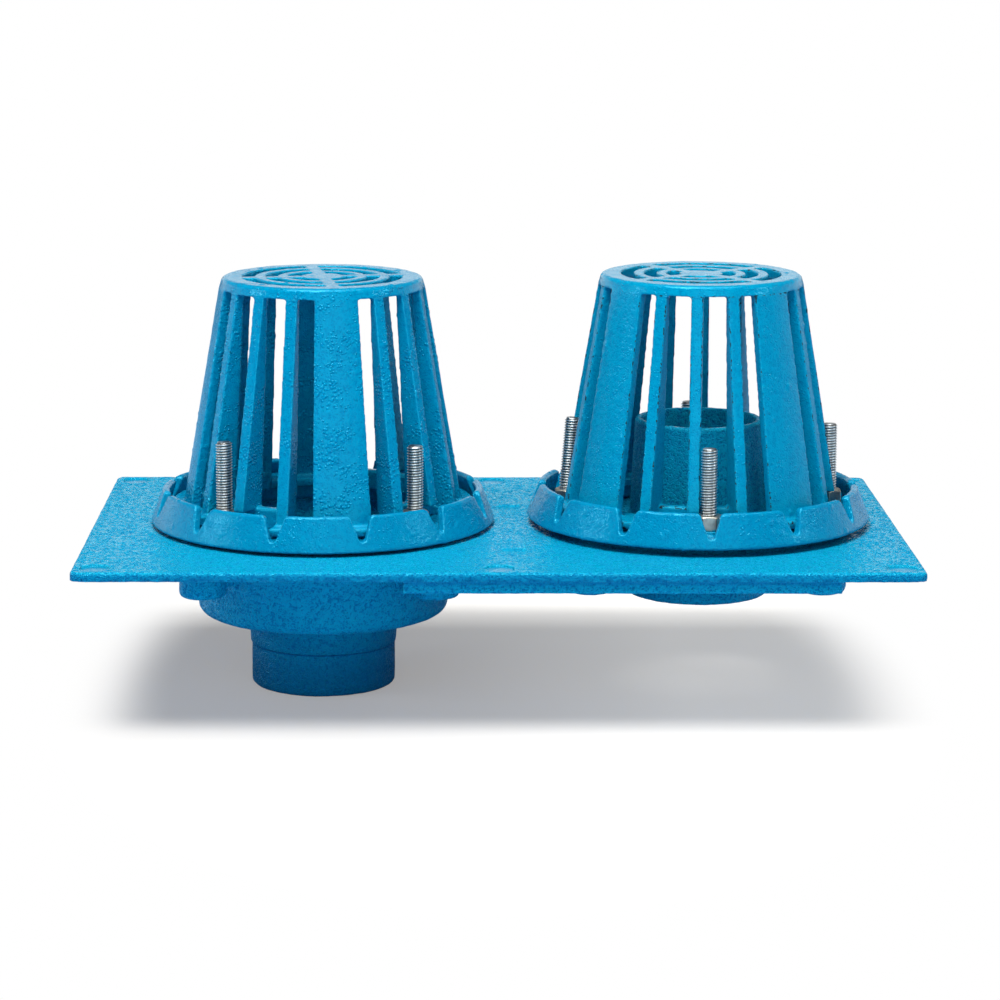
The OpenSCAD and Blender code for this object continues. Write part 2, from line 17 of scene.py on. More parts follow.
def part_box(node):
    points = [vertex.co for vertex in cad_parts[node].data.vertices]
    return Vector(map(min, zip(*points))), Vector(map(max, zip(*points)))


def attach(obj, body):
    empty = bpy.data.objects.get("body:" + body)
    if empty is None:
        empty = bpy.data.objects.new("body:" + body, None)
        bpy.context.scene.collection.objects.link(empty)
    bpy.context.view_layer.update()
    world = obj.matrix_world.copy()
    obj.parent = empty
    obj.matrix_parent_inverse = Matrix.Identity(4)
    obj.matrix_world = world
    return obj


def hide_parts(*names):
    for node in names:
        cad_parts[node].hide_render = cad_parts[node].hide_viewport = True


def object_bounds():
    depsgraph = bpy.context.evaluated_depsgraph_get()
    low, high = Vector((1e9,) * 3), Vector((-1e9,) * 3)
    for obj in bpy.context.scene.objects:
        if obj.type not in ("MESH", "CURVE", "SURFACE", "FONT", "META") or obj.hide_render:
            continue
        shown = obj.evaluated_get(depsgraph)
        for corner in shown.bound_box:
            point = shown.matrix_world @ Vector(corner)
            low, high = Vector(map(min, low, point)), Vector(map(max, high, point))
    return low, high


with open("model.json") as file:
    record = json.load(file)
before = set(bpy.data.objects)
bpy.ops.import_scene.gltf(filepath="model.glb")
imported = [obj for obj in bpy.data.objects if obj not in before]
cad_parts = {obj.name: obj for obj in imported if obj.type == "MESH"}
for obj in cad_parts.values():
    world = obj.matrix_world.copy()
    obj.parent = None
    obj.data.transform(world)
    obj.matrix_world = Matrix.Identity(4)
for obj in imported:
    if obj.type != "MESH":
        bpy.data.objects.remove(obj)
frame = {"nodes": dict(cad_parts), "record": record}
packed_lo, packed_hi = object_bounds()

MM = 0.001

# ---------- castings ----------
# Voxel size and, in millimetres, heights of the sand texture, of slow lumps and of ragged
# corners; then the number of beads and the seed
CASTINGS = {
    "body": dict(voxel=1.0, sand=0.14, lump=0.14, ragged=0.08, drips=160, seed=11),
    "clamp_ring_primary": dict(voxel=0.85, sand=0.10, lump=0.12, ragged=0.10, drips=160, seed=21),
    "clamp_ring_overflow": dict(voxel=0.85, sand=0.10, lump=0.12, ragged=0.10, drips=160, seed=22),
    "dome_primary": dict(voxel=0.8, sand=0.10, lump=0.12, ragged=0.14, drips=260, seed=31),
    "dome_overflow": dict(voxel=0.8, sand=0.10, lump=0.12, ragged=0.16, drips=120, seed=32),
}
CASTING_TRIANGLES = {"body": 190000, "dome_primary": 185000, "dome_overflow": 185000,
                     "clamp_ring_primary": 110000, "clamp_ring_overflow": 110000}
WELD = 0.004 * MM
SHARP_EDGE = math.radians(35)
CORNER_STEP = 1.0 * MM
EDGE_REACH = 4.0 * MM
SMOOTHING = (0.5, -0.52, 0.5, -0.52)
SAND_WAVE, LUMP_WAVE, RAGGED_WAVE = 4.5 * MM, 14 * MM, 2.6 * MM
DRIP_RADIUS = (1.3 * MM, 2.4 * MM)
DRIP_HEIGHT = (0.18 * MM, 0.45 * MM)
DRIP_FACING = 0.3
SPOT_DEPTH = (0.55 * MM, 1.6 * MM)
SPOT_UPRIGHT = 0.8

# ---------- blue epoxy ----------
# Green and blue of the coat, then how strongly each effect shows: beads and their height in
# millimetres, wear along corners, bare specks, height of the grain in millimetres, its two sizes
# in cells to the metre, painted shade in the grain's pits with painted light on its crests, and
# dull patches
FINISHES = {
    "epoxy_body": dict(green=0.345, blue=0.55, beads=0.22, bead_height=0.12, wear=0.25, specks=0.4,
                       sand_height=1.0, grain_sizes=(400.0, 900.0), pits=0.7, dull=0.8),
    "epoxy_rings": dict(green=0.245, blue=0.435, beads=0.35, bead_height=0.3, wear=0.3, specks=0.5,
                        sand_height=0.3, grain_sizes=(420.0, 900.0), pits=0.3, dull=0.2),
    "epoxy_beaded_dome": dict(green=0.285, blue=0.485, beads=0.55, bead_height=0.55, wear=0.3,
                              specks=0.6, sand_height=0.22, grain_sizes=(420.0, 900.0),
                              pits=0.35, dull=0.14),
    "epoxy_dome": dict(green=0.305, blue=0.50, beads=0.35, bead_height=0.3, wear=0.42, specks=1.0,
                       sand_height=0.2, grain_sizes=(420.0, 900.0), pits=0.3, dull=0.14),
}
CASTING_FINISH = {"body": "epoxy_body", "clamp_ring_primary": "epoxy_rings",
                  "clamp_ring_overflow": "epoxy_rings", "dome_primary": "epoxy_beaded_dome",
                  "dome_overflow": "epoxy_dome"}
# Red, then shares of the finish's green and blue
COAT_SHADES = {
    "coat": (0.0, 1.0, 1.0), "deep": (0.0, 0.74, 0.86), "pale": (0.0, 1.12, 1.06),
    # Painted shade in the grain's pits, painted light on its crests and a painted highlight along
    # corners
    "painted_pit_shade": (0.0, 0.35, 0.6), "crest": (0.0, 1.3, 1.2), "painted_corner_highlight": (0.03, 2.0, 1.6),
    # Painted shade for the body's lower parts, its side and the line under the collar's step
    "painted_shade": (0.0, 0.35, 0.55),
}
DEEP_SHARE, PALE_SHARE = 0.4, 0.25
SLOW_TONE_SIZE, FINE_TONE_SIZE = 22.0, 260.0
BARE_IRON = (0.012, 0.02, 0.03, 1.0)
THIN_COAT = (0.0, 0.32, 0.62, 1.0)
BEAD_SIZE, BEAD_PATCH_SIZE, BEAD_ROUNDNESS = 520.0, 70.0, 0.6
THIN_SHARE = 0.25
POCKED, POCK_DEPTH, FINE_DEPTH = 0.5, 0.5, 0.3
POOL_FILLED, POOL_DULL = 0.15, 0.1
# Levels of the grain: down into its pits for the painted shade, up to its crests for the painted
# light, and from glossy to dull
PIT_LEVELS, CREST_LEVELS, DULL_LEVELS = (0.88, 0.62), (0.95, 1.2), (0.98, 0.74)
# Reach along the corners and strength of the painted highlight there
CORNER_HIGHLIGHT_REACH, CORNER_HIGHLIGHT_SHARE = 0.80, 0.5
WEAR_REACH, WEAR_BREAK = 0.45, 420.0
GLOSS, BARE_ROUGHNESS = 0.14, 0.65
CHIP_DEPTH = 0.12 * MM
EPOXY_IOR = 1.5
EPOXY_SHEEN = (0.1, 0.8, 1.0, 1.0)

# Heights of the body's zones: the collar's step, and painted shade as a shadow line under the
# step, darker towards the bottom and on the plate's side. The collar's foot is at zero, the
# side's zones count from the deck's top
COLLAR_STEP = 0.7 * MM
STEP_SPAN = (-0.5 * MM, 0.5 * MM)
STEP_LINE_BELOW, STEP_LINE_ABOVE = (-1.8 * MM, -0.4 * MM), (0.4 * MM, -0.4 * MM)
UNDERSIDE, UNDERSIDE_SHADE = (25 * MM, -15 * MM), 0.7
SIDE_ZONE_TOP, SIDE_ZONE_FOOT, SIDE_SHADE = (-0.2 * MM, -1.4 * MM), (-8.5 * MM, -6.5 * MM), 0.5

# ---------- zinc ----------
ZINC_STUD = ((0.78, 0.84, 0.86, 1.0), (0.28, 0.31, 0.32, 1.0))
ZINC_NUT = ((0.60, 0.57, 0.47, 1.0), (0.24, 0.21, 0.15, 1.0))
ZINC_PALE = (0.8, 0.8, 0.78, 1.0)
# Darker colour towards a thread's root
ZINC_ROOT_DARK = (0.05, 0.05, 0.045, 1.0)
ZINC_DEEP_SHARE, ZINC_PALE_SHARE = 0.5, 0.25
ZINC_GRAIN_SIZES, ZINC_POCKED, ZINC_GRAIN_HEIGHT = (900.0, 2600.0), 0.3, 0.012 * MM
ZINC_ROUGHNESS = (0.34, 0.5)

# ---------- studs and nuts ----------
THREAD_PITCH = 25.4 / 16 * MM
THREAD_DEPTH = 0.92 * MM
TURN_STEPS = 28
END_CHAMFER = 1.0 * MM
BENT_STUD = "stud_overflow_4"
BEND_ANGLE = math.radians(4.5)
BEND_RADIUS = 60 * MM
BEND_ABOVE_NUT = 2 * MM
THREAD_WELD = 0.01 * MM
# Share of the pitch at each line of one ridge, and whether the line lies on the crest
THREAD_PROFILE = ((0.00, False), (0.14, False), (0.44, True), (0.56, True))
NUT_STEPS = 96
NUT_LEVELS = (0, 0.03, 0.08, 0.14, 0.2, 0.3, 0.5, 0.7, 0.8, 0.86, 0.92, 0.97, 1)
NUT_FACE_SHARE, NUT_CHAMFER_SLOPE, NUT_CHAMFER_BLEND = 0.965, 1.75, 0.12 * MM
COUNTERSINK, COUNTERSINK_DEPTH = 0.35 * MM, 0.6 * MM

# ---------- studio ----------
CAMERA_AT = (0.0660, -1.8759, 0.4622)
CAMERA_PITCH = math.radians(9.615)
CAMERA_YAW = math.radians(1.181)
CAMERA_ROLL = math.radians(0.281)
LENS = 115.93
LENS_SHIFT_Y = -0.1
FLOOR_SIZE = 14.0
# Level, azimuth, elevation, size, distance; azimuth is from the front towards +X
SOFTBOXES = {
    "overhead": (0.98, math.radians(-8), math.radians(78), 3.0, 3.6),
    "key": (0.60, math.radians(-24), math.radians(65), 1.1, 3.4),
    "front": (0.20, math.radians(8), math.radians(14), 2.4, 3.4),
    "left_side": (0.11, math.radians(-80), math.radians(20), 0.32, 2.6),
    "right_side": (0.09, math.radians(76), math.radians(28), 0.32, 2.6),
}
AMBIENT_LEVEL = 0.11
AMBIENT_TINT = (0.75, 0.92, 1.12, 1.0)
# Gloss sees the room's level go from the first to the second number over these directions
ROOM_HEIGHT, ROOM_HEIGHT_LEVELS = (0.12, 0.36), (1.0, 0.06)
ROOM_DEPTH, ROOM_DEPTH_LEVELS = (-0.3, 0.5), (0.2, 1.0)
WHITE = (1.0, 1.0, 1.0, 1.0)
BLACK = (0.0, 0.0, 0.0, 1.0)
PAPER, PAPER_BOUNCE = (0.60, 0.585, 0.56, 1.0), (0.27, 0.51, 0.75, 1.0)
# Painted light: the floor's glow for the camera lifts its shadow, more towards +X
SHADOW_LIFT = ((0.285, 0.27, 0.25, 1.0), (0.43, 0.42, 0.40, 1.0))
SHADOW_LIFT_SPAN = (-0.12, 0.12)
PURE_WHITE_FROM, PURE_WHITE_SQUEEZE = (0.19, 0.265), (1.0, 0.6, 0.0)
CAMERA_SENSOR, CAMERA_SEES_TO = 36, 50


# =====================================================================
# small helpers
# =====================================================================

def add_object(name, data):
    obj = bpy.data.objects.new(name, data)
    bpy.context.scene.collection.objects.link(obj)
    return obj


def shade_smooth(mesh):
    mesh.polygons.foreach_set("use_smooth", [True] * len(mesh.polygons))


def mesh_from_bmesh(name, bm):
    mesh = bpy.data.meshes.new(name)
    bm.to_mesh(mesh)
    bm.free()
    shade_smooth(mesh)
    return mesh


def with_modifier(obj, kind, **settings):
    """Adds one modifier, applies it and returns the object."""
    modifier = obj.modifiers.new(kind.lower(), kind)
    for key, value in settings.items():
        setattr(modifier, key, value)
    graph = bpy.context.evaluated_depsgraph_get()
    mesh = bpy.data.meshes.new_from_object(obj.evaluated_get(graph))
    old = obj.data
    obj.modifiers.clear()
    obj.data = mesh
    bpy.data.meshes.remove(old)
    return obj


def vertex_coords(mesh):
    co = np.empty(len(mesh.vertices) * 3, np.float32)
    mesh.vertices.foreach_get("co", co)
    return co.reshape(-1, 3)


def vertex_normals(mesh):
    normals = np.empty(len(mesh.vertices) * 3, np.float32)
    mesh.vertex_normals.foreach_get("vector", normals)
    return normals.reshape(-1, 3)


def set_coords(mesh, co):
    mesh.vertices.foreach_set("co", np.asarray(co, np.float32).ravel())
    mesh.update()


def float_attribute(mesh, name, values):
    layer = mesh.attributes.new(name, "FLOAT", "POINT")
    layer.data.foreach_set("value", np.asarray(values, np.float32))


def triangle_count(mesh):
    return sum(len(p.vertices) - 2 for p in mesh.polygons)


# =====================================================================
# castings
# =====================================================================

def welded_copy(node):
    """Copy of a node's mesh with its shared corners joined."""
    bm = bmesh.new()
    bm.from_mesh(frame["nodes"][node].data)
    bmesh.ops.remove_doubles(bm, verts=bm.verts, dist=WELD)
    return bm


def outer_edge_points(bm):
    """Points along the sharp outward corners of a solid."""
    points = []
    for edge in bm.edges:
        if len(edge.link_faces) != 2 or edge.calc_face_angle_signed(0.0) < SHARP_EDGE:
            continue
        start, end = edge.verts[0].co, edge.verts[1].co
        count = max(1, int((end - start).length / CORNER_STEP))
        points += [start.lerp(end, (i + 0.5) / count) for i in range(count)]
    return points


def point_tree(points):
    tree = KDTree(len(points))
    for i, point in enumerate(points):
        tree.insert(point, i)
    tree.balance()
    return tree


def distance_to(points, co, reach):
    """Distance of each row of co to the nearest point, at most reach."""
    tree = point_tree(points)
    found = np.full(len(co), reach, np.float32)
    for i, c in enumerate(co):
        _, _, distance = tree.find(c)
        if distance is not None and distance < reach:
            found[i] = distance
    return found


def near_corner(corners, co):
    """1 on the sharp outward corners of a casting, falling to 0 at their reach."""
    return 1 - distance_to(corners, co, EDGE_REACH) / EDGE_REACH


def noise_field(co, wavelength, seed):
    """Smooth noise between about -1 and 1 at each row of co."""
    offset = Vector((seed * 1.7, seed * 0.9, seed * 2.3))
    scale = 1 / wavelength
    return np.array([noise.noise(Vector(c) * scale + offset) for c in co.tolist()], np.float32)


def add_drips(co, normals, count, rng):
    """Beads of coating: small domes that stand off the surface."""
    tree = point_tree(co)
    lift = np.zeros(len(co), np.float32)
    for _ in range(count):
        centre = rng.randrange(len(co))
        radius = rng.uniform(*DRIP_RADIUS)
        height = rng.uniform(*DRIP_HEIGHT)
        for _, i, distance in tree.find_range(co[centre], radius):
            if float(np.dot(normals[i], normals[centre])) > DRIP_FACING:
                fall = 1 - (distance / radius) ** 2
                lift[i] = max(lift[i], height * fall)
    return lift


def cast_piece(node, voxel, sand, lump, ragged, drips, seed):
    """One casting with rounded corners, a sand-cast surface and beads of coating."""
    bm = welded_copy(node)
    corners = outer_edge_points(bm)
    obj = add_object("cast_" + node, mesh_from_bmesh("cast_" + node, bm))
    with_modifier(obj, "REMESH", mode="VOXEL", voxel_size=voxel * MM, use_smooth_shade=True)
    for factor in SMOOTHING:
        with_modifier(obj, "SMOOTH", factor=factor, iterations=1)
    mesh = obj.data
    co, normals = vertex_coords(mesh), vertex_normals(mesh)
    near = near_corner(corners, co)
    rise = sand * MM * noise_field(co, SAND_WAVE, seed)
    rise += lump * MM * noise_field(co, LUMP_WAVE, seed + 5)
    rise += ragged * MM * near ** 2 * noise_field(co, RAGGED_WAVE, seed + 9)
    rise += add_drips(co, normals, drips, random.Random(seed))
    set_coords(mesh, co + normals * rise[:, None])
    budget, count = CASTING_TRIANGLES[node], triangle_count(mesh)
    if count > budget:
        with_modifier(obj, "DECIMATE", ratio=budget / count)
    co, normals = vertex_coords(obj.data), vertex_normals(obj.data)
    float_attribute(obj.data, "edge", near_corner(corners, co))
    float_attribute(obj.data, "pool", spot_floor(co, normals))
    shade_smooth(obj.data)
    return obj


def spot_floor(co, normals):
    """1 on the floors of the shallow spots in the deck's top, where coating pooled."""
    depth = deck_top() - co[:, 2]
    floor = (depth > SPOT_DEPTH[0]) & (depth < SPOT_DEPTH[1]) & (normals[:, 2] > SPOT_UPRIGHT)
    return floor.astype(np.float32)


def deck_top():
    """Height of the deck's top face: the feet of the primary ring stand on it."""
    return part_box("clamp_ring_primary")[0].z


# =====================================================================
# studs and nuts
# =====================================================================

def bend_map(node):
    """Function that carries a point of the straight stud onto the bent one."""
    lo, hi = nut_box(node)
    start = hi.z + BEND_ABOVE_NUT
    foot = Vector(((lo.x + hi.x) / 2, (lo.y + hi.y) / 2, 0))
    drain = Vector(overflow_axis())
    inward = Vector((drain.x - foot.x, drain.y - foot.y, 0)).normalized()
    arc = BEND_RADIUS * BEND_ANGLE

    def bent(p):
        if p.z <= start:
            return p
        side = Vector((p.x - foot.x, p.y - foot.y, 0))
        off = side.dot(inward)
        across = side - inward * off
        angle = min((p.z - start) / BEND_RADIUS, BEND_ANGLE)
        run = max(0.0, p.z - start - arc)
        out = BEND_RADIUS - (BEND_RADIUS - off) * math.cos(angle) + run * math.sin(angle)
        up = (BEND_RADIUS - off) * math.sin(angle) + run * math.cos(angle)
        return foot + across + inward * out + Vector((0, 0, start + up))

    return bent


def nut_box(stud):
    """Box of the nut on a stud."""
    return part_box(stud.replace("stud", "nut"))


def overflow_axis():
    mounts = {m["name"]: m for m in frame["record"]["mounts"]}
    return mounts["overflow_outlet"]["pos_m"]


def thread_surface(centre, lo, hi, crest_r, seed):
    """Rolled thread from height lo to hi: one helical ridge with flat crest and root."""
    root_r = crest_r - THREAD_DEPTH
    turns = (hi - lo) / THREAD_PITCH + 2
    rows = int(turns * TURN_STEPS)
    start_turn = random.Random(seed).random() * math.tau
    bm = bmesh.new()
    root = bm.verts.layers.float.new("root")
    grid = []
    for i in range(rows):
        angle = start_turn + math.tau * i / TURN_STEPS
        base = lo - THREAD_PITCH + THREAD_PITCH * i / TURN_STEPS
        row = []
        for part, on_crest in THREAD_PROFILE:
            radius = crest_r if on_crest else root_r
            z = min(hi, max(lo, base + THREAD_PITCH * part))
            end_gap = min(z - lo, hi - z)
            allowed = crest_r - END_CHAMFER + end_gap
            r = min(radius, allowed) if end_gap < END_CHAMFER else radius
            vert = bm.verts.new((centre.x + r * math.cos(angle),
                                 centre.y + r * math.sin(angle), z))
            vert[root] = (crest_r - radius) / THREAD_DEPTH
            row.append(vert)
        grid.append(row)
    join_turns(bm, grid)
    bmesh.ops.remove_doubles(bm, verts=bm.verts, dist=THREAD_WELD)
    return bm


def join_turns(bm, grid):
    """Faces between the lines of a thread; its last line meets the first of the next turn."""
    width = len(THREAD_PROFILE)
    for i in range(len(grid) - 1):
        for j in range(width):
            a, b = grid[i][j], grid[i + 1][j]
            if j + 1 < width:
                c, d = grid[i + 1][j + 1], grid[i][j + 1]
            elif i + 1 + TURN_STEPS < len(grid):
                c, d = grid[i + 1 + TURN_STEPS][0], grid[i + TURN_STEPS][0]
            else:
                continue
            bm.faces.new((a, b, c, d))


def close_ends(bm):
    rims = [e for e in bm.edges if len(e.link_faces) == 1]
    bmesh.ops.holes_fill(bm, edges=rims, sides=0)
    bmesh.ops.recalc_face_normals(bm, faces=bm.faces)


def threaded_stud(node, seed):
    lo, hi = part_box(node)
    nut_lo, nut_hi = nut_box(node)
    centre = (nut_lo + nut_hi) / 2
    crest_r = (hi.y - lo.y) / 2 if node != BENT_STUD else STUD_R
    top = hi.z if node != BENT_STUD else straight_top(node)
    bm = thread_surface(centre, lo.z, top, crest_r, seed)
    close_ends(bm)
    if node == BENT_STUD:
        carry = bend_map(node)
        for v in bm.verts:
            v.co = carry(v.co)
    return add_object("thread_" + node, mesh_from_bmesh("thread_" + node, bm))


def straight_top(node):
    """Height that the bent stud's top would have if it were straight."""
    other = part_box("stud_overflow_1")
    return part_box(node)[0].z + (other[1].z - other[0].z)


def nut_corner(node, centre):
    """Radius and direction of one corner of a nut, found from its solid."""
    corner = max((v.co for v in frame["nodes"][node].data.vertices),
                 key=lambda c: (c.x - centre.x) ** 2 + (c.y - centre.y) ** 2)
    x, y = corner.x - centre.x, corner.y - centre.y
    return math.hypot(x, y), math.atan2(y, x)


def nut_rings(corner_r, lo, hi):
    """Rings of (radius, height) from the lower countersink over the faces to the upper one."""
    flat_r = corner_r * math.cos(math.pi / 6)
    bore, mouth = STUD_R - THREAD_DEPTH * 0.5, STUD_R + COUNTERSINK
    rings = [[(bore, lo + COUNTERSINK_DEPTH)] * NUT_STEPS, [(mouth, lo)] * NUT_STEPS]
    for level in NUT_LEVELS:
        gap = min(level, 1 - level) * (hi - lo)
        turned = flat_r * NUT_FACE_SHARE + gap * NUT_CHAMFER_SLOPE
        ring = []
        for k in range(NUT_STEPS):
            turn = (math.tau * k / NUT_STEPS) % (math.pi / 3)
            hexagon = flat_r / math.cos(turn - math.pi / 6)
            ring.append((soft_min(hexagon, turned, NUT_CHAMFER_BLEND), lo + (hi - lo) * level))
        rings.append(ring)
    return rings + [[(mouth, hi)] * NUT_STEPS, [(bore, hi - COUNTERSINK_DEPTH)] * NUT_STEPS]


def hex_nut(node):
    """Pressed hexagon nut with a turned chamfer on both faces and a countersunk thread."""
    lo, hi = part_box(node)
    centre = (lo + hi) / 2
    corner_r, corner = nut_corner(node, centre)
    bm = bmesh.new()
    loops = []
    for ring in nut_rings(corner_r, lo.z, hi.z):
        loop = []
        for k, (radius, z) in enumerate(ring):
            angle = corner + math.tau * k / NUT_STEPS
            loop.append(bm.verts.new((centre.x + radius * math.cos(angle),
                                      centre.y + radius * math.sin(angle), z)))
        loops.append(loop)
    for a, b in zip(loops, loops[1:] + loops[:1]):
        for k in range(NUT_STEPS):
            n = (k + 1) % NUT_STEPS
            bm.faces.new((a[k], a[n], b[n], b[k]))
    bmesh.ops.recalc_face_normals(bm, faces=bm.faces)
    return add_object("hex_" + node, mesh_from_bmesh("hex_" + node, bm))


def soft_min(a, b, blend):
    """The smaller of two lengths, rounded over where they cross."""
    gap = abs(a - b)
    if gap >= blend:
        return min(a, b)
    return min(a, b) - (blend - gap) ** 2 / (4 * blend)


# =====================================================================
# shader node groups
# =====================================================================

class Net:
    """A node tree with short calls for the nodes that these materials use."""

    def __init__(self, tree):
        self.tree = tree

    def feed(self, made, inputs):
        """Sets each input of a node, or links it where the value is a socket."""
        for key, value in inputs.items():
            if isinstance(value, bpy.types.NodeSocket):
                self.tree.links.new(value, made.inputs[key])
            else:
                made.inputs[key].default_value = value

    def node(self, kind, inputs=None, **settings):
        made = self.tree.nodes.new(kind)
        for key, value in settings.items():
            setattr(made, key, value)
        self.feed(made, inputs or {})
        return made

    def math(self, operation, a, b=0.0, clamp=False):
        return self.node("ShaderNodeMath", {0: a, 1: b}, operation=operation,
                         use_clamp=clamp).outputs[0]

    def times(self, a, b):
        return self.math("MULTIPLY", a, b)

    def mix_colour(self, factor, a, b):
        return self.node("ShaderNodeMix", {0: factor, 6: a, 7: b},
                         data_type="RGBA").outputs[2]

    def ramp(self, value, low, high, out_low=0.0, out_high=1.0):
        """Smooth step from out_low to out_high as the value goes from low to high."""
        return self.node("ShaderNodeMapRange",
                         {0: value, 1: low, 2: high, 3: out_low, 4: out_high},
                         interpolation_type="SMOOTHSTEP", clamp=True).outputs[0]

    def noise(self, where, scale, detail, rough):
        return self.node("ShaderNodeTexNoise",
                         {"Vector": where, "Scale": scale, "Detail": detail,
                          "Roughness": rough}).outputs[0]

    def place(self):
        """Place on the piece itself, so that no effect slides when the camera moves."""
        return self.node("ShaderNodeTexCoord").outputs["Object"]

    def attribute(self, name):
        return self.node("ShaderNodeAttribute", attribute_name=name).outputs["Fac"]

    def group(self, name, inputs):
        return self.node("ShaderNodeGroup", inputs, node_tree=GROUPS[name]).outputs


def new_group(name, inputs, outputs):
    """Empty shader group: inputs and outputs are {name: default value}."""
    tree = bpy.data.node_groups.new(name, "ShaderNodeTree")
    for sockets, side in ((inputs, "INPUT"), (outputs, "OUTPUT")):
        for key, value in sockets.items():
            kind = "NodeSocketFloat" if isinstance(value, float) else "NodeSocketColor"
            socket = tree.interface.new_socket(key, in_out=side, socket_type=kind)
            if side == "INPUT":
                socket.default_value = value
    net = Net(tree)
    return net, net.node("NodeGroupInput").outputs, net.node("NodeGroupOutput")


def sand_grain_group():
    """Height of the grain that shows through the coat; it is filled where the coat pooled."""
    net, source, sink = new_group(
        "sand_grain", {"Coarse Size": 450.0, "Fine Size": 1000.0, "Pocked": POCKED},
        {"Height": 0.0})
    where = net.place()
    lumps = net.noise(where, source["Coarse Size"], 3.0, 0.55)
    cells = net.node("ShaderNodeTexVoronoi",
                     {"Vector": where, "Scale": source["Fine Size"], "Smoothness": 0.8},
                     feature="SMOOTH_F1").outputs["Distance"]
    pocks = net.times(net.ramp(cells, 0.15, 0.55), source["Pocked"])
    fine = net.noise(where, source["Fine Size"], 2.0, 0.5)
    grain = net.math("ADD", net.math("ADD", lumps, net.times(fine, FINE_DEPTH)),
                     net.times(pocks, POCK_DEPTH))
    filled = net.ramp(net.attribute("pool"), 0.0, 1.0, 1.0, POOL_FILLED)
    net.feed(sink, {"Height": net.times(grain, filled)})
    return net.tree


def coating_beads_group():
    """Small beads where the coating gathered: their height and a mask."""
    net, source, sink = new_group(
        "coating_beads", {"Bead Size": BEAD_SIZE, "Amount": 0.5}, {"Height": 0.0, "Mask": 0.0})
    where = net.place()
    cells = net.node("ShaderNodeTexVoronoi", {"Vector": where, "Scale": source["Bead Size"]},
                     feature="F1").outputs["Distance"]
    patch = net.noise(where, BEAD_PATCH_SIZE, 2.0, 0.5)
    reach = net.times(net.ramp(patch, 0.35, 0.65), source["Amount"])
    bead = net.math("SUBTRACT", 1.0, net.math("DIVIDE", cells, net.math("ADD", reach, 0.001)),
                    clamp=True)
    net.feed(sink, {"Height": net.math("POWER", bead, BEAD_ROUNDNESS), "Mask": bead})
    return net.tree


def tone_group():
    """Slow and fine changes of tone over a surface."""
    net, source, sink = new_group(
        "tone_variation", {"Colour": WHITE, "Deep": BLACK, "Pale": WHITE,
                           "Deep Amount": DEEP_SHARE, "Pale Amount": PALE_SHARE},
        {"Colour": BLACK})
    where = net.place()
    slow = net.ramp(net.noise(where, SLOW_TONE_SIZE, 3.0, 0.6), 0.35, 0.7)
    fine = net.ramp(net.noise(where, FINE_TONE_SIZE, 3.0, 0.6), 0.35, 0.75)
    deep = net.mix_colour(net.times(fine, source["Deep Amount"]), source["Colour"],
                          source["Deep"])
    pale = net.mix_colour(net.times(slow, source["Pale Amount"]), deep, source["Pale"])
    net.feed(sink, {"Colour": pale})
    return net.tree


def edge_wear_group():
    """Mask of thin or missing coating along outward corners."""
    net, source, sink = new_group(
        "edge_wear", {"Reach": WEAR_REACH, "Amount": 0.5, "Break Size": WEAR_BREAK,
                      "Specks": 0.5}, {"Mask": 0.0})
    broken = net.noise(net.place(), source["Break Size"], 4.0, 0.65)
    near = net.ramp(net.attribute("edge"), source["Reach"], 1.0)
    floor = net.times(net.math("SUBTRACT", 1.0, source["Amount"]), 0.75)
    worn = net.ramp(net.times(near, broken), floor, net.math("ADD", floor, 0.06))
    net.feed(sink, {"Mask": net.times(worn, source["Specks"])})
    return net.tree


def painted_grain_and_corner_light_group():
    """Coat over the grain with painted shade in its pits, painted light on its crests and a
    painted highlight along corners.
    """
    net, source, sink = new_group(
        "painted_grain_and_corner_light", {"Colour": WHITE, "Painted Pit Shade": BLACK, "Painted Crest Light": WHITE, "Painted Corner Highlight": WHITE,
                       "Grain": 0.9, "Painted Grain Shading": 0.5}, {"Colour": BLACK})
    pits = net.ramp(net.attribute("pool"), 0.0, 0.5, source["Painted Grain Shading"], 0.0)
    painted_pit_shade = net.times(net.ramp(source["Grain"], *PIT_LEVELS), pits)
    with_painted_pit_shade = net.mix_colour(painted_pit_shade, source["Colour"], source["Painted Pit Shade"])
    crests = net.times(net.ramp(source["Grain"], *CREST_LEVELS), source["Painted Grain Shading"])
    raised = net.mix_colour(crests, with_painted_pit_shade, source["Painted Crest Light"])
    painted_corner_highlight = net.ramp(net.attribute("edge"), CORNER_HIGHLIGHT_REACH, 1.0, 0.0, CORNER_HIGHLIGHT_SHARE)
    net.feed(sink, {"Colour": net.mix_colour(painted_corner_highlight, raised, source["Painted Corner Highlight"])})
    return net.tree


def worn_coat_group():
    """Colour and gloss of the coat with bare specks, thin places round beads and dull grain."""
    net, source, sink = new_group(
        "worn_coat", {"Colour": WHITE, "Iron": BARE_IRON, "Thin": THIN_COAT, "Bare": 0.0,
                      "Beads": 0.0, "Grain": 0.9, "Dull": 0.3},
        {"Colour": BLACK, "Roughness": 0.0})
    bare = source["Bare"]
    colour = net.mix_colour(bare, source["Colour"], source["Iron"])
    thin = net.times(net.math("SUBTRACT", 1.0, bare), net.times(source["Beads"], THIN_SHARE))
    patches = net.ramp(net.attribute("pool"), 0.0, 0.5, source["Dull"], POOL_DULL)
    dull = net.times(net.ramp(source["Grain"], *DULL_LEVELS, 0.15, 1.0), patches)
    gloss = net.ramp(bare, 0.0, 1.0, GLOSS, BARE_ROUGHNESS)
    net.feed(sink, {"Colour": net.mix_colour(thin, colour, source["Thin"]),
                    "Roughness": net.math("MAXIMUM", gloss, dull)})
    return net.tree


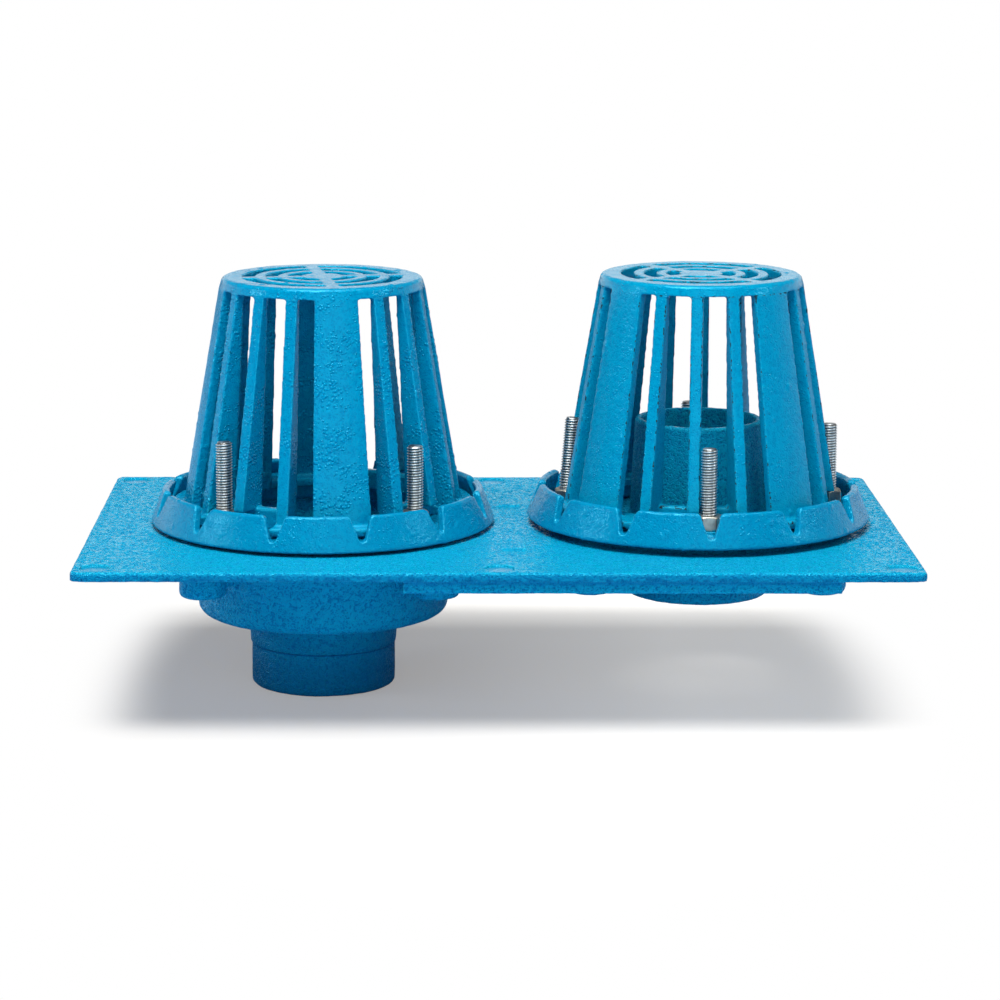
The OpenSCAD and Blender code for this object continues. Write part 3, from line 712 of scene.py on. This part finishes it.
def coat_height_group():
    """Height of the coated surface in metres: grain and beads, less the chips."""
    net, source, sink = new_group(
        "coat_height", {"Grain": 0.9, "Grain Height": 1.0 * MM, "Bead": 0.0,
                        "Bead Height": 0.3 * MM, "Bare": 0.0}, {"Height": 0.0})
    raised = net.math("ADD", net.times(source["Grain"], source["Grain Height"]),
                      net.times(source["Bead"], source["Bead Height"]))
    chips = net.times(source["Bare"], CHIP_DEPTH)
    net.feed(sink, {"Height": net.math("SUBTRACT", raised, chips)})
    return net.tree


def plated_steel_group():
    """Zinc plate over fine grain, darker towards the thread's root."""
    net, source, sink = new_group(
        "plated_steel", {"Colour": WHITE, "Root Dark": ZINC_ROOT_DARK, "Grain": 0.9,
                         "Grain Height": ZINC_GRAIN_HEIGHT},
        {"Colour": BLACK, "Roughness": 0.0, "Height": 0.0})
    root_dark = net.ramp(net.attribute("root"), 0.2, 0.9, 0.0, 0.85)
    net.feed(sink, {"Colour": net.mix_colour(root_dark, source["Colour"], source["Root Dark"]),
                    "Roughness": net.ramp(source["Grain"], 0.3, 1.4, *ZINC_ROUGHNESS),
                    "Height": net.times(source["Grain"], source["Grain Height"])})
    return net.tree


# =====================================================================
# materials
# =====================================================================

def empty_net(block):
    """Empty node tree of a material or a world."""
    block.use_nodes = True
    block.node_tree.nodes.clear()
    return Net(block.node_tree)


def coated_material(name):
    """New material with a Principled shader on its output."""
    material = bpy.data.materials.new(name)
    net = empty_net(material)
    shader = net.node("ShaderNodeBsdfPrincipled")
    net.node("ShaderNodeOutputMaterial", {0: shader.outputs[0]})
    return material, net, shader


def surface(net, shader, colour, roughness, height):
    """Feeds the shader's colour, gloss and bump."""
    bump = net.node("ShaderNodeBump", {"Strength": 1.0, "Distance": 1.0, "Height": height})
    net.feed(shader, {"Base Color": colour, "Roughness": roughness,
                      "Normal": bump.outputs[0]})


def body_step_and_painted_shade(net):
    """Step at the collar's foot, and a mask of painted shade: a shadow line under the step, darker
    towards the bottom and on the plate's side.
    """
    z = net.node("ShaderNodeSeparateXYZ", {0: net.place()}).outputs["Z"]
    step = net.ramp(z, *STEP_SPAN)
    line = net.times(net.ramp(z, *STEP_LINE_BELOW), net.ramp(z, *STEP_LINE_ABOVE))
    below = net.ramp(z, *UNDERSIDE, 0.0, UNDERSIDE_SHADE)
    top, foot = ([deck_top() + level for level in zone]
                 for zone in (SIDE_ZONE_TOP, SIDE_ZONE_FOOT))
    side = net.times(net.ramp(z, *top, 0.0, SIDE_SHADE), net.ramp(z, *foot))
    return step, net.math("MAXIMUM", line, net.math("MAXIMUM", below, side))


def epoxy_casting(name, green, blue, beads, bead_height, wear, specks, sand_height,
                  grain_sizes, pits, dull):
    """Glossy blue epoxy over a sand-cast surface."""
    material, net, shader = coated_material(name)
    shade = {key: (red, green * on_green, blue * on_blue, 1.0)
             for key, (red, on_green, on_blue) in COAT_SHADES.items()}
    tone = net.group("tone", {"Colour": shade["coat"], "Deep": shade["deep"],
                              "Pale": shade["pale"], "Deep Amount": DEEP_SHARE,
                              "Pale Amount": PALE_SHARE})["Colour"]
    bare = net.group("wear", {"Reach": WEAR_REACH, "Amount": wear, "Break Size": WEAR_BREAK,
                              "Specks": specks})["Mask"]
    bead = net.group("beads", {"Bead Size": BEAD_SIZE, "Amount": beads})
    grain = net.group("sand", {"Coarse Size": grain_sizes[0], "Fine Size": grain_sizes[1],
                               "Pocked": POCKED})["Height"]
    # Painted shade in the grain's pits, painted light on its crests and a painted highlight along
    # corners
    tone = net.group("painted_light", {"Colour": tone, "Painted Pit Shade": shade["painted_pit_shade"], "Painted Crest Light": shade["crest"],
                               "Painted Corner Highlight": shade["painted_corner_highlight"], "Grain": grain, "Painted Grain Shading": pits})["Colour"]
    coat = net.group("coat", {"Colour": tone, "Iron": BARE_IRON, "Thin": THIN_COAT,
                              "Bare": bare, "Beads": bead["Mask"], "Grain": grain,
                              "Dull": dull})
    colour = coat["Colour"]
    height = net.group("height", {"Grain": grain, "Grain Height": sand_height * MM,
                                  "Bead": bead["Height"], "Bead Height": bead_height * MM,
                                  "Bare": bare})["Height"]
    if name == CASTING_FINISH["body"]:
        step, painted_shade = body_step_and_painted_shade(net)
        height = net.math("ADD", height, net.times(step, COLLAR_STEP))
        # Painted shade: a shadow line under the collar's step, darker towards the bottom and on
        # the plate's side
        colour = net.mix_colour(painted_shade, colour, shade["painted_shade"])
    net.feed(shader, {"IOR": EPOXY_IOR, "Specular Tint": EPOXY_SHEEN})
    surface(net, shader, colour, coat["Roughness"], height)
    return material


def zinc_steel(name, tint, deep):
    """Zinc plated steel, dull, darker towards a thread's root."""
    material, net, shader = coated_material(name)
    tone = net.group("tone", {"Colour": tint, "Deep": deep, "Pale": ZINC_PALE,
                              "Deep Amount": ZINC_DEEP_SHARE,
                              "Pale Amount": ZINC_PALE_SHARE})["Colour"]
    grain = net.group("sand", {"Coarse Size": ZINC_GRAIN_SIZES[0],
                               "Fine Size": ZINC_GRAIN_SIZES[1],
                               "Pocked": ZINC_POCKED})["Height"]
    plate = net.group("plate", {"Colour": tone, "Root Dark": ZINC_ROOT_DARK, "Grain": grain,
                                "Grain Height": ZINC_GRAIN_HEIGHT})
    net.feed(shader, {"Metallic": 1.0})
    surface(net, shader, plate["Colour"], plate["Roughness"], plate["Height"])
    return material


def glow(net, colour, strength):
    return net.node("ShaderNodeEmission", {"Color": colour, "Strength": strength}).outputs[0]


def paper_floor():
    """White sweep: it takes the shadow near the drain and goes pure white further out."""
    material = bpy.data.materials.new("paper_floor")
    net = empty_net(material)
    seen = net.node("ShaderNodeLightPath").outputs["Is Camera Ray"]
    back = net.node("ShaderNodeNewGeometry").outputs["Backfacing"]
    where = net.place()
    squeezed = net.node("ShaderNodeVectorMath", {0: where, 1: PURE_WHITE_SQUEEZE},
                        operation="MULTIPLY").outputs["Vector"]
    distance = net.node("ShaderNodeVectorMath", {0: squeezed},
                        operation="LENGTH").outputs["Value"]
    far = net.ramp(distance, *PURE_WHITE_FROM)
    tone = net.mix_colour(seen, PAPER_BOUNCE, PAPER)
    paper = net.node("ShaderNodeBsdfDiffuse", {"Color": tone}).outputs[0]
    across = net.node("ShaderNodeSeparateXYZ", {0: where}).outputs["X"]
    # Painted light: the glow lifts the floor's shadow, more towards +X
    lift = net.mix_colour(net.ramp(across, *SHADOW_LIFT_SPAN), *SHADOW_LIFT)
    lifted = net.node("ShaderNodeMixShader",
                      {0: seen, 1: glow(net, WHITE, 0.0), 2: glow(net, lift, 1.0)}).outputs[0]
    near = net.node("ShaderNodeAddShader", {0: paper, 1: lifted}).outputs[0]
    top = net.node("ShaderNodeMixShader",
                   {0: net.times(far, seen), 1: near, 2: glow(net, WHITE, 1.0)}).outputs[0]
    clear = net.node("ShaderNodeBsdfTransparent").outputs[0]
    both = net.node("ShaderNodeMixShader", {0: back, 1: top, 2: clear}).outputs[0]
    net.node("ShaderNodeOutputMaterial", {0: both})
    return material


# =====================================================================
# studio
# =====================================================================

def drain_centre():
    return (packed_lo + packed_hi) / 2


def lay_floor():
    bm = bmesh.new()
    half = FLOOR_SIZE / 2
    corners = [bm.verts.new((x * half, y * half, 0))
               for x, y in ((-1, -1), (1, -1), (1, 1), (-1, 1))]
    bm.faces.new(corners)
    floor = add_object("floor", mesh_from_bmesh("floor", bm))
    centre = drain_centre()
    floor.location = (centre.x, centre.y, packed_lo.z)
    floor.data.materials.append(paper_floor())


def hang_softbox(name, level, azimuth, elevation, size, distance):
    """Square softbox aimed at the drain; level is the light on a surface that faces it."""
    light = bpy.data.lights.new(name, "AREA")
    light.shape = "SQUARE"
    light.size = size
    light.energy = level * math.pi ** 2 * distance ** 2
    aim = Vector((math.sin(azimuth) * math.cos(elevation),
                  -math.cos(azimuth) * math.cos(elevation), math.sin(elevation)))
    obj = add_object(name, light)
    obj.location = drain_centre() + aim * distance
    obj.rotation_euler = aim.to_track_quat("Z", "Y").to_euler()


def light_world():
    """Light from all round: even and bluish on matt surfaces, a pale room in the gloss."""
    world = bpy.data.worlds.new("studio")
    bpy.context.scene.world = world
    net = empty_net(world)
    path = net.node("ShaderNodeLightPath").outputs
    glossy, seen = path["Is Glossy Ray"], path["Is Camera Ray"]
    direction = net.node("ShaderNodeTexCoord").outputs["Generated"]
    parts = net.node("ShaderNodeSeparateXYZ", {0: direction}).outputs
    room = net.times(net.ramp(parts["Z"], *ROOM_HEIGHT, *ROOM_HEIGHT_LEVELS),
                     net.ramp(parts["Y"], *ROOM_DEPTH, *ROOM_DEPTH_LEVELS))
    level = net.math("ADD", net.times(glossy, room),
                     net.times(net.math("SUBTRACT", 1.0, glossy), AMBIENT_LEVEL))
    tint = net.mix_colour(net.math("MAXIMUM", glossy, seen), AMBIENT_TINT, WHITE)
    background = net.node("ShaderNodeBackground",
                          {"Color": tint, "Strength": net.math("MAXIMUM", level, seen)})
    net.node("ShaderNodeOutputWorld", {0: background.outputs[0]})


def set_camera():
    data = bpy.data.cameras.new("camera")
    data.lens = LENS
    data.sensor_width = CAMERA_SENSOR
    data.shift_y = LENS_SHIFT_Y
    data.clip_end = CAMERA_SEES_TO
    camera = add_object("camera", data)
    turn = (Matrix.Rotation(-CAMERA_YAW, 4, "Z")
            @ Matrix.Rotation(math.pi / 2 - CAMERA_PITCH, 4, "X")
            @ Matrix.Rotation(CAMERA_ROLL, 4, "Z"))
    camera.matrix_world = Matrix.Translation(CAMERA_AT) @ turn
    bpy.context.scene.camera = camera


# =====================================================================
# the drain
# =====================================================================

def dress(piece, node, material):
    piece.data.materials.clear()
    piece.data.materials.append(material)
    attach(piece, "root")
    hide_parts(node)


def build_castings():
    finishes = {name: epoxy_casting(name, **look) for name, look in FINISHES.items()}
    for node, shape in CASTINGS.items():
        dress(cast_piece(node, **shape), node,
              finishes[CASTING_FINISH[node]])


def build_fasteners():
    stud_zinc = zinc_steel("zinc_stud", *ZINC_STUD)
    nut_zinc = zinc_steel("zinc_nut", *ZINC_NUT)
    for side in ("primary", "overflow"):
        for i in range(1, 5):
            node = f"stud_{side}_{i}"
            dress(threaded_stud(node, i + len(side)), node, stud_zinc)
            node = f"nut_{side}_{i}"
            dress(hex_nut(node), node, nut_zinc)


def stud_radius():
    lo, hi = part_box("stud_primary_1")
    return (hi.y - lo.y) / 2


STUD_R = stud_radius()
GROUPS = {"tone": tone_group(), "sand": sand_grain_group(), "beads": coating_beads_group(),
          "wear": edge_wear_group(), "painted_light": painted_grain_and_corner_light_group(), "coat": worn_coat_group(),
          "height": coat_height_group(), "plate": plated_steel_group()}

build_castings()
build_fasteners()
lay_floor()
for name, setting in SOFTBOXES.items():
    hang_softbox(name, *setting)
light_world()
set_camera()
bpy.context.scene.view_settings.view_transform = "Standard"
